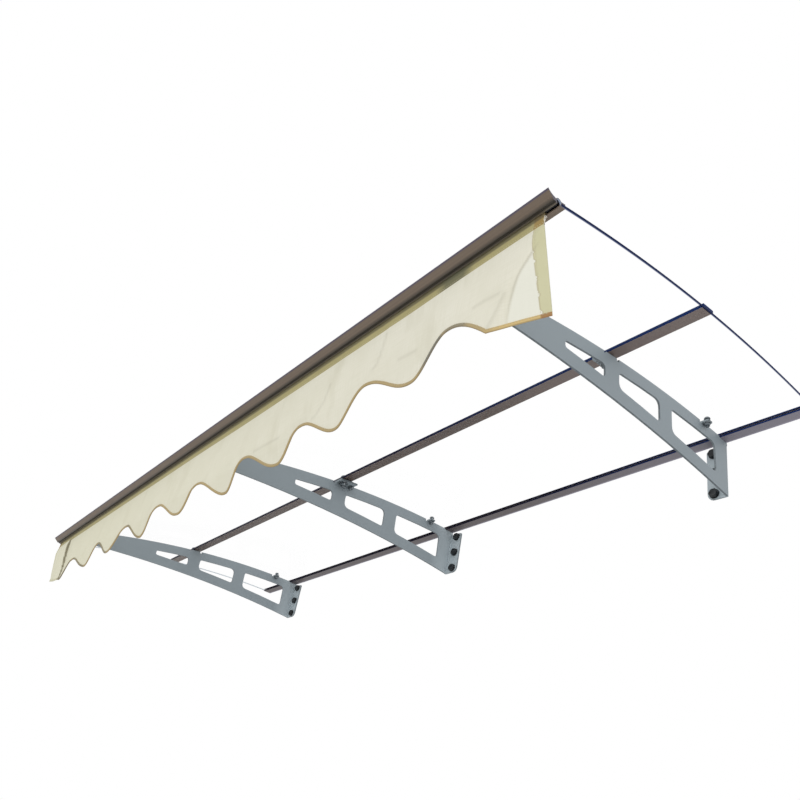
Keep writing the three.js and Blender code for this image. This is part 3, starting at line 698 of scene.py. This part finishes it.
# Cut by hand, the crests and lows of the waves stand a little off their even places.
wave_drift = [
    (-0.800, 0.0), (-0.739, -0.008), (-0.641, 0.008), (-0.542, -0.002), (-0.449, -0.014), (-0.345, 0.003),
    (-0.254, -0.020), (-0.148, 0.006), (-0.059, 0.002), (0.050, 0.003), (0.150, 0.0),
]
fold_pitch, fold_depth = 0.345, 0.003
end_reach, end_swing = 0.095, 0.022
middle_reach, middle_push, blown_depth = 0.65, 0.013, 0.014


# Drop of the cut edge below the rod.
def cloth_edge(x):
    phase = (x - np.interp(x, *zip(*wave_drift)) - first_crest) / wave_pitch
    share = phase - np.floor(phase)
    turn = np.where(share < wave_lean, share / wave_lean / 2, 1 - (1 - share) / (1 - wave_lean) / 2)
    edge = cloth_drop - wave_height * np.cos(2 * math.pi * turn)
    edge = np.where(x <= left_edge[-1][0], np.interp(x, *zip(*left_edge)), edge)
    past_crest = np.clip((x - last_crest) / (last_low - last_crest), 0.0, 1.0)
    crest_drop = cloth_drop - wave_height
    last_fall = crest_drop + (last_drop - crest_drop) * past_crest ** 2 * (1.35 - 0.35 * past_crest)
    edge = np.where(x > last_crest, last_fall, edge)
    corner = last_drop + (corner_drop - last_drop) * (x - last_low) / (cloth_right - last_low)
    return np.where(x >= last_low, corner, edge)


def eased(x, start, end):
    share = np.clip((x - start) / (end - start), 0.0, 1.0)
    return share ** 2 * (3 - 2 * share)


# How far the hanging cloth stands to the rear, in its folds, at its ends and where it is blown back.
def cloth_sway(x, fall):
    depth = fall / cloth_drop
    broad = np.sin(2 * math.pi * x / fold_pitch + 0.4)
    narrow = np.sin(5.4 * math.pi * x / fold_pitch + 0.9 * depth)
    near_end = np.clip(1 - np.minimum(x - cloth_left, cloth_right - x) / end_reach, 0.0, 1.0)
    near_middle = np.maximum(0.0, 1 - (x / middle_reach) ** 2)
    lobe = np.maximum(0.0, fall - cloth_drop + wave_height) / (2 * wave_height)
    folds = fold_depth * (0.7 * broad + 0.3 * narrow) * (1 - near_end) * depth ** 2
    swing = np.where(x > 0, 0.0, end_swing)
    blown = blown_depth * eased(x, -0.05, 0.25) * (1 - eased(x, 0.66, 0.84))
    return folds + middle_push * near_middle * lobe + (swing * near_end ** 1.5 + blown) * depth


fold_line = [(cloth_right, 0.020), (last_low, 0.161)]
fold_slope, fold_softness = 0.43, 0.003
corner_crease = [
    (cloth_right, 0.035), (0.9624, 0.0577), (0.9454, 0.0823), (0.9405, 0.092),
    (0.934, 0.1109), (0.9286, 0.1299), (0.9249, 0.1478), (0.9240, 0.165),
]
crease_top = 0.012
pleat_line = [(-0.876, crease_top), (-0.852, 0.070), (-0.826, 0.108), (-0.812, 0.130), (-0.806, 0.160)]
# A small crease has a line, a depth, a width and the hand of its softer side.
small_creases = [
    ([(0.9234, 0.1107), (0.914, 0.1305), (0.8995, 0.156)], 0.0014, 0.009, -1),
    ([(0.913, 0.1046), (0.8851, 0.1012), (0.8669, 0.1016)], 0.0010, 0.012, -1),
    ([(0.7386, 0.1049), (0.6954, 0.0985)], 0.0006, 0.010, -1),
    ([(0.6569, 0.0325), (0.6519, 0.0499), (0.6407, 0.0799), (0.63, 0.0865)], 0.0010, 0.012, 1),
    ([(0.5082, 0.063), (0.495, 0.0903), (0.4725, 0.1097), (0.4607, 0.1111)], 0.0012, 0.016, 1),
    ([(0.3522, 0.1095), (0.3092, 0.1084), (0.2642, 0.1073)], 0.0018, 0.016, 1),
]


def line_at(line, drop):
    line_x, line_drop = zip(*line)
    return np.interp(drop, line_drop, line_x)


# Distance from a crease's line and the side of it.
def line_gap(line, x, drop):
    nearest = np.full_like(x, 1.0)
    aside = np.zeros_like(x)
    for (x0, d0), (x1, d1) in zip(line, line[1:]):
        run = np.array([x1 - x0, d1 - d0])
        along_line = np.clip(((x - x0) * run[0] + (drop - d0) * run[1]) / (run @ run), 0.0, 1.0)
        off_x = x - x0 - along_line * run[0]
        off_d = drop - d0 - along_line * run[1]
        far = np.hypot(off_x, off_d)
        aside = np.where(far < nearest, np.sign(off_x * run[1] - off_d * run[0]), aside)
        nearest = np.minimum(nearest, far)
    return nearest, aside


def pleat_share(x, drop):
    pleat_width = np.interp(drop, [0.02, 0.12], [0.0065, 0.0030])
    return np.clip((line_at(pleat_line, drop) - x) / pleat_width, 0.0, 1.0)


# Depth of the folded corner, the pleat and the small creases.
def crease_lift(x, drop):
    past_fold = x - line_at(fold_line, drop)
    lift = fold_slope * (past_fold + np.hypot(past_fold, fold_softness)) / 2
    lift = lift * np.clip((drop - crease_top) / 0.016, 0.0, 1.0)
    pleat_depth = np.interp(drop, [crease_top, 0.042, 0.100, 0.150], [0.0, 0.007, 0.007, 0.0035])
    lift = lift - pleat_depth * pleat_share(x, drop)
    for line, depth, width, hand in small_creases:
        gap, aside = line_gap(line, x, drop)
        lift = lift - depth * np.exp(-gap / np.where(aside * hand > 0, width * 2.2, width * 0.6))
    return lift


# Painted shade along the creases and in the pleat.
def crease_shade(x, drop):
    gap = line_gap(corner_crease, x, drop)[0]
    fading = np.clip((drop - 0.045) / 0.015, 0.0, 1.0) * np.clip((0.165 - drop) / 0.06, 0.25, 1.0)
    shade = 0.36 * np.exp(-(gap / 0.0015) ** 2) * fading
    for line, *_ in small_creases:
        gap = line_gap(line, x, drop)[0]
        shade = np.maximum(shade, 0.16 * np.exp(-(gap / 0.0035) ** 2))
    share = pleat_share(x, drop)
    in_pleat = np.minimum(12 * share * (1 - share), 1.0)
    return np.maximum(shade, in_pleat * np.clip((drop - crease_top) / 0.015, 0.0, 1.0))


def cloth_point(x, drop, behind):
    fall = np.maximum(drop - straight, 0.0)
    y = channel_y + cloth_sway(x, fall) + crease_lift(x, drop) + behind
    return np.stack([x, y, channel_z - drop], axis=-1) + shift


def surface_mesh(name, grid, **values):
    grid = np.array(grid)
    rows, columns = grid.shape[:2]
    index = np.arange(rows * columns).reshape(rows, columns)
    corners = [index[:-1, :-1], index[1:, :-1], index[1:, 1:], index[:-1, 1:]]
    faces = np.stack(corners, axis=-1).reshape(-1, 4)
    mesh = bpy.data.meshes.new(name)
    mesh.from_pydata(grid.reshape(-1, 3).tolist(), [], faces.tolist())
    for key, value in values.items():
        layer = mesh.attributes.new(key, "FLOAT", "POINT")
        layer.data.foreach_set("value", np.ascontiguousarray(value, dtype=np.float32).ravel())
    mesh.shade_smooth()
    return mesh


drop_rows = 60
panel_end, corner_start = -0.76, 0.84
along = np.concatenate([
    np.linspace(cloth_left, panel_end, 110, endpoint=False),
    np.linspace(panel_end, corner_start, 322, endpoint=False),
    np.linspace(corner_start, cloth_right, 110),
])
pocket_path = [(drop, 0.0006) for drop in np.linspace(hem_height, 0.0085, 4)]
pocket_path += [(straight, 0.00055), (0.0048, -panel_offset)]
for i in range(13):
    turn = math.radians(12 + 27 * i)
    pocket_path.append((pocket_radius * math.cos(turn), pocket_radius * math.sin(turn)))
pocket_path.append((0.0048, panel_offset))
cloth_rows = [cloth_point(along, np.full_like(along, drop), behind) for drop, behind in pocket_path]
drop_values = [np.zeros_like(along)] * len(cloth_rows)
crease_values = list(drop_values)
flap_values = list(drop_values)
for i in range(drop_rows + 1):
    level = straight + (cloth_edge(along) - straight) * i / drop_rows
    cloth_rows.append(cloth_point(along, level, panel_offset))
    drop_values.append(level)
    crease_values.append(crease_shade(along, level))
    flap_values.append(np.clip((along - line_at(corner_crease, level)) / 0.003, 0.0, 1.0))
cloth_mesh = surface_mesh(
    "valance_cloth",
    cloth_rows,
    along=[along] * len(cloth_rows),
    drop=drop_values,
    crease=crease_values,
    flap=flap_values,
)


def flat_place(tree, stretch=(1.0, 1.0, 1.0)):
    across = attribute(tree, "along")
    down = attribute(tree, "drop")
    flat = add(tree, "ShaderNodeCombineXYZ", {"X": across, "Y": down, "Z": 0.0}).outputs[0]
    return add(tree, "ShaderNodeMapping", {"Vector": flat, "Scale": stretch}).outputs[0]


def pulse(tree, value, middle, half, soft):
    rising = ramp(tree, value, middle - half - soft, middle - half)
    return product(tree, rising, ramp(tree, value, middle + half + soft, middle + half))


def cloth_finish(name, hemmed):
    finish, tree, shader = new_finish(name)
    across = attribute(tree, "along")
    down = attribute(tree, "drop")
    slub_across = mottle(tree, flat_place(tree, (18.0, 900.0, 1.0)), 1.0, 2.0)
    slub_down = mottle(tree, flat_place(tree, (900.0, 18.0, 1.0)), 1.0, 2.0)
    slubs = product(tree, slub_across, slub_down)
    cloudy = mottle(tree, flat_place(tree), 14.0, 4.0)
    slack = mottle(tree, flat_place(tree, (16.0, 7.0, 1.0)), 1.0, 3.0, 0.5)
    colour = between(tree, ramp(tree, slubs, 0.12, 0.4), srgb(227, 224, 206), srgb(236, 233, 218))
    colour = layered(tree, colour, [
        (ramp(tree, cloudy, 0.4, 0.8, 0.0, 0.5), srgb(221, 218, 198)),
        (ramp(tree, slack, 0.54, 0.72, 0.0, 0.55), srgb(208, 204, 182)),
        # Painted shade: darker and yellower towards the left end.
        (ramp(tree, across, 0.7, -0.5, 0.0, 0.6), srgb(222, 219, 190)),
    ])
    if hemmed:
        # Painted light: the folded right corner, turned towards the light, is painted paler.
        flap_painted_light = product(tree, attribute(tree, "flap"), 0.7)
        torn = mottle(tree, flat_place(tree, (0.0, 1.0, 1.0)), 64.0, 3.0, 0.6)
        wander = ramp(tree, torn, 0.52, 0.68, 0.0, -0.0035)
        edge_right = sums(tree, "SUBTRACT", across, ramp(tree, down, 0.02, 0.15, 0.9605, 0.9652))
        edge_left = sums(tree, "SUBTRACT", cloth_left + side_hem, across)
        from_edge = sums(tree, "ADD", sums(tree, "MAXIMUM", edge_right, edge_left), wander)
        side_share = ramp(tree, from_edge, -0.0004, 0.0006)
        top_share = ramp(tree, down, hem_height + 0.0005, hem_height - 0.0005)
        # Painted back light: where two, three or four layers lie together, less light comes through the thin
        # cloth, so the hems are painted darker and yellower.
        two_layer_backlight = between(tree, cloudy, srgb(200, 197, 156), srgb(217, 214, 182))
        three_layer_backlight = between(tree, cloudy, srgb(164, 155, 109), srgb(188, 178, 126))
        four_layer_backlight = between(tree, cloudy, srgb(156, 130, 76), srgb(174, 150, 94))
        torn_line = product(tree, pulse(tree, from_edge, 0.0, 0.0004, 0.0008), 0.5)
        # Painted shade: the top of the hem darkens just below the rail's lip.
        lip_shade = ramp(tree, down, 0.0125, 0.0095, 0.0, 0.7)
        # Painted shadow: the right bracket's nose, behind the hem, shows through it as a dark patch.
        nose_shadow = product(tree, top_share, pulse(tree, across, 0.81, 0.018, 0.022))
        colour = layered(tree, colour, [
            (flap_painted_light, srgb(236, 236, 224)),
            (side_share, two_layer_backlight),
            (top_share, between(tree, side_share, three_layer_backlight, four_layer_backlight)),
            (torn_line, srgb(172, 160, 116)),
            (lip_shade, srgb(98, 91, 72)),
            (product(tree, nose_shadow, 0.85), srgb(104, 104, 80)),
            # Painted shade in the creases and the pleat.
            (attribute(tree, "crease"), srgb(138, 132, 110)),
        ])
    feed(tree, shader, {"Base Color": colour, "Roughness": 0.85, "Specular IOR Level": 0.2})
    feed(tree, shader, {"Sheen Weight": 0.1, "Sheen Roughness": 0.5})
    rumples = mottle(tree, flat_place(tree), 60.0)
    worked(tree, shader, [(slubs, 0.0003, 0.3), (rumples, 0.0010, 0.15)])
    return finish


def thicken(piece, thickness):
    body = piece.modifiers.new("cloth_body", "SOLIDIFY")
    body.thickness = thickness
    body.offset = 0.0


cloth_cream = cloth_finish("valance_cream", hemmed=True)
cloth = new_piece("valance_cloth", cloth_mesh, [cloth_cream], ["valance"])
thicken(cloth, 0.0005)

# Side hems: the cloth's two side edges, folded to the back and pressed flat, with a raw torn inner edge.
# The same cream cloth, lying on the back of the panel from the rod's hem to the bound edge.
hem_rows = 60
hem_top_gap, hem_foot_gap = 0.0007, 0.0033
torn = np.random.default_rng(7)
hem_plain = cloth_finish("valance_hem_cream", hemmed=False)
for side, hem_edge, hand in (("left", cloth_left, 1), ("right", cloth_right, -1)):
    raggedness = np.convolve(torn.normal(0.0, 0.0016, hem_rows + 9), np.ones(3) / 3, "same")[4:-4]
    hem_grid = []
    hem_along = []
    hem_drop = []
    for i in range(hem_rows + 1):
        reach = np.linspace(0.0, side_hem + raggedness[i], 12)
        x = hem_edge + hand * reach
        drop = hem_height + hem_top_gap + (cloth_edge(x) - hem_foot_gap - hem_height) * i / hem_rows
        hem_grid.append(cloth_point(x, drop, np.where(reach < 0.001, 0.00025, 0.0009)))
        hem_along.append(x)
        hem_drop.append(drop)
    hem_mesh = surface_mesh(f"valance_hem_{side}", hem_grid, along=hem_along, drop=hem_drop)
    hem = new_piece(f"valance_hem_{side}", hem_mesh, [hem_plain], [])
    thicken(hem, 0.0004)

# Binding: a tan tape folded round the whole wave edge and sewn through both of its sides.
# Woven cotton tape, faded at the left corner, and painted with light and shade: grey as shade on its last
# climb and crest, on the left slopes and at the left corner, darker as shade along its lower rim, brighter
# as light on the folded right corner, and browner over the right side hem as back light held back by the
# layers.
tape_along = np.linspace(cloth_left, cloth_right, 1241)
tape_drop = cloth_edge(tape_along)
tape_line = cloth_point(tape_along, tape_drop, panel_offset)
tape_run = np.gradient(tape_line, axis=0)
tape_run /= np.linalg.norm(tape_run, axis=1)[:, None]
tape_face = np.cross(tape_run, tape_line - cloth_point(tape_along, tape_drop - 0.004, panel_offset))
tape_face /= np.linalg.norm(tape_face, axis=1)[:, None]
tape_face *= -np.sign(tape_face[:, 1:2])
tape_up = np.cross(tape_face, tape_run)
tape_up *= np.sign(tape_up[:, 2:3])
# One side of the folded tape, as heights above the cut edge and distances from the cloth.
tape_side = [(0.0046, 0.0006), (0.0042, 0.0010), (0.0004, 0.0011), (-0.0007, 0.0007)]
tape_section = [(up, -out) for up, out in tape_side]
tape_section += [(-0.0010, 0.0), *tape_side[::-1], (0.0046, -0.0006)]
tape_rings = [tape_line + tape_up * up - tape_face * out for up, out in tape_section]
tape_climb = np.clip(-np.gradient(tape_drop, tape_along), -1.0, 1.0)
tape_mesh = surface_mesh(
    "valance_binding",
    tape_rings,
    along=[tape_along] * len(tape_rings),
    drop=[np.full_like(tape_along, up) for up, out in tape_section],
    climb=[tape_climb] * len(tape_rings),
)
shape = bmesh.new()
shape.from_mesh(tape_mesh)
bmesh.ops.remove_doubles(shape, verts=shape.verts, dist=1e-6)
bmesh.ops.holes_fill(shape, edges=[edge for edge in shape.edges if edge.is_boundary])
bmesh.ops.recalc_face_normals(shape, faces=shape.faces)
shape.to_mesh(tape_mesh)
shape.free()
tape_mesh.set_sharp_from_angle(angle=math.radians(70))
binding_tan, tree, shader = new_finish("binding_tan")
ribs = mottle(tree, flat_place(tree, (1100.0, 90.0, 1.0)), 1.0, 2.0)
tan = between(tree, ribs, srgb(172, 151, 106), srgb(190, 169, 122))
corner_lit_tan = between(tree, ribs, srgb(204, 176, 116), srgb(222, 196, 140))
across = attribute(tree, "along")
climb = attribute(tree, "climb")
# Painted light: the tape on the folded right corner is brighter.
past_last_low = ramp(tree, across, last_low - 0.01, last_low + 0.02)
# Painted shade: grey where the tape climbs the last wave and near the last crest, on the left slopes and at
# the left corner.
shade_on_climb = product(tree, ramp(tree, climb, 0.1, 0.5, 0.0, 0.9), ramp(tree, across, 0.75, 0.77))
shade_at_crest = product(tree, pulse(tree, across, 0.83, 0.018, 0.016), 0.6)
shade_on_left = product(tree, ramp(tree, climb, 0.0, -0.2, 0.0, 0.7), ramp(tree, across, -0.15, -0.35))
shade_at_corner = ramp(tree, across, -0.760, -0.780, 0.0, 0.85)
# Painted shade: darker along the tape's lower rim.
under = ramp(tree, attribute(tree, "drop"), 0.0008, -0.0008, 0.0, 0.5)
faded = ramp(tree, across, -0.806, -0.814, 0.0, 0.92)
# Painted back light: browner over the right side hem, where more layers hold back the light from behind.
over_hem = ramp(tree, across, 0.964, 0.966)
tan = layered(tree, tan, [
    (past_last_low, corner_lit_tan),
    (sums(tree, "MAXIMUM", shade_on_climb, shade_at_crest), srgb(112, 115, 110)),
    (shade_on_left, srgb(122, 119, 100)),
    (shade_at_corner, srgb(118, 114, 94)),
    (under, srgb(130, 112, 84)),
    (faded, srgb(214, 211, 180)),
    (product(tree, over_hem, 0.85), srgb(160, 117, 76)),
])
feed(tree, shader, {"Base Color": tan, "Roughness": 0.8, "Specular IOR Level": 0.25, "Sheen Weight": 0.1})
worked(tree, shader, [(ribs, 0.0003, 0.35)])
binding = new_piece("valance_binding", tape_mesh, [binding_tan], [])


# Stitching: lock stitches in cream thread along the rod hem, the side hems and the binding.
# Each stitch is a short thread that dips at its ends, set out along the seam at an even pitch.
def stitch_tree():
    sizes = {"Pitch": 0.0042, "Stitch length": 0.0032, "Thread width": 0.0006}
    tree, given = new_grower("stitches_on_seam", {"Seam": "Geometry", "Thread": "Material"}, sizes)
    line = add(tree, "GeometryNodeMeshToCurve", {0: given["Seam"]})
    inputs = {"Curve": line.outputs[0], "Length": given["Pitch"]}
    spots = add(tree, "GeometryNodeResampleCurve", inputs, mode="LENGTH")
    run = add(tree, "GeometryNodeInputTangent", {})
    turn = add(tree, "FunctionNodeAlignRotationToVector", {"Vector": run.outputs[0]}, axis="X")
    one = add(tree, "GeometryNodeMeshIcoSphere", {"Radius": 0.5, "Subdivisions": 1})
    size = add(tree, "ShaderNodeCombineXYZ", {
        "X": given["Stitch length"],
        "Y": given["Thread width"],
        "Z": given["Thread width"],
    })
    spread = {"Min": (0.85, 0.9, 0.9), "Max": (1.05, 1.1, 1.1), "Seed": 3}
    jitter = add(tree, "FunctionNodeRandomValue", spread, data_type="FLOAT_VECTOR")
    factors = {0: size.outputs[0], 1: jitter.outputs[0]}
    scale = add(tree, "ShaderNodeVectorMath", factors, operation="MULTIPLY")
    sewn = add(tree, "GeometryNodeInstanceOnPoints", {
        "Points": spots.outputs[0],
        "Instance": one.outputs[0],
        "Rotation": turn.outputs[0],
        "Scale": scale.outputs[0],
    })
    return coated_tree(tree, sewn, given["Thread"])


def line_carrier(name, lines):
    points = np.concatenate(lines).tolist()
    edges = []
    first = 0
    for line in lines:
        edges += [(first + i, first + i + 1) for i in range(len(line) - 1)]
        first += len(line)
    mesh = bpy.data.meshes.new(name)
    mesh.from_pydata(points, edges, [])
    return bpy.data.objects.new(name, mesh)


def thread_finish(name, dull, bright):
    finish, tree, shader = new_finish(name)
    place = object_place(tree)
    spun = between(tree, mottle(tree, place, 900.0), dull, bright)
    feed(tree, shader, {"Base Color": spun, "Roughness": 0.7})
    worked(tree, shader, [(mottle(tree, place, 3000.0), 0.0001, 0.3)])
    return finish


seams = []
thread_offset = -0.00085
hem_seam = np.linspace(cloth_left + 0.002, cloth_right - 0.002, 700)
seams.append(cloth_point(hem_seam, np.full_like(hem_seam, hem_height - 0.003), thread_offset))
seams.append((tape_line + tape_up * 0.0034 + tape_face * 0.00115)[4:-4])
for seam_place in (cloth_left + side_hem - 0.005, cloth_right - side_hem + 0.005):
    seam_x = np.full(40, seam_place)
    seam_drop = np.linspace(hem_height + 0.003, float(cloth_edge(seam_x[:1])[0]) - 0.008, 40)
    seams.append(cloth_point(seam_x, seam_drop, thread_offset))
thread_cream = thread_finish("thread_cream", srgb(190, 182, 150), srgb(216, 210, 184))
seam_carrier = line_carrier("seam_lines", seams)
stitch_mesh = grown_mesh("valance_stitches", seam_carrier, stitch_tree(), {"Thread": thread_cream})
stitches = new_piece("valance_stitches", stitch_mesh, [thread_cream], [])


# Frayed threads: six loose ends of the cloth's own yarn at the right top corner, where the side hem is cut.
# Each is a thin curling strand that starts in the cloth and hangs down beside its edge.
def strand_tree():
    parts = {"Lines": "Geometry", "Yarn": "Material"}
    tree, given = new_grower("strands_on_lines", parts, {"Strand radius": 0.0004})
    line = add(tree, "GeometryNodeMeshToCurve", {0: given["Lines"]})
    thickness = {"Resolution": 6, "Radius": given["Strand radius"]}
    round_yarn = add(tree, "GeometryNodeCurvePrimitiveCircle", thickness)
    strand = add(tree, "GeometryNodeCurveToMesh", {
        "Curve": line.outputs[0],
        "Profile Curve": round_yarn.outputs[0],
        "Fill Caps": True,
    })
    return coated_tree(tree, strand, given["Yarn"])


curls = np.random.default_rng(5)
strands = []
strand_count, strand_points, strand_root = 6, 10, cloth_right - 0.0006
share = np.linspace(0.0, 1.0, strand_points)
for i in range(strand_count):
    length = curls.uniform(0.004, 0.009)
    out = curls.uniform(0.001, 0.008)
    forward = curls.uniform(0.0005, 0.002)
    curl = curls.uniform(0.0004, 0.0012) * np.sin(share * curls.uniform(4.0, 8.0))
    strand_x = strand_root + out * share + curl
    strand_drop = 0.009 + 0.0016 * i + length * share
    strand = cloth_point(np.full(strand_points, strand_root), strand_drop, -0.0004 - forward * share)
    strand[:, 0] = strand_x + shift[0]
    strands.append(strand)
yarn_cream = thread_finish("yarn_cream", srgb(226, 222, 208), srgb(242, 240, 230))
strand_carrier = line_carrier("strand_lines", strands)
strand_mesh = grown_mesh("valance_fray", strand_carrier, strand_tree(), {"Yarn": yarn_cream})
fray = new_piece("valance_fray", strand_mesh, [yarn_cream], [])
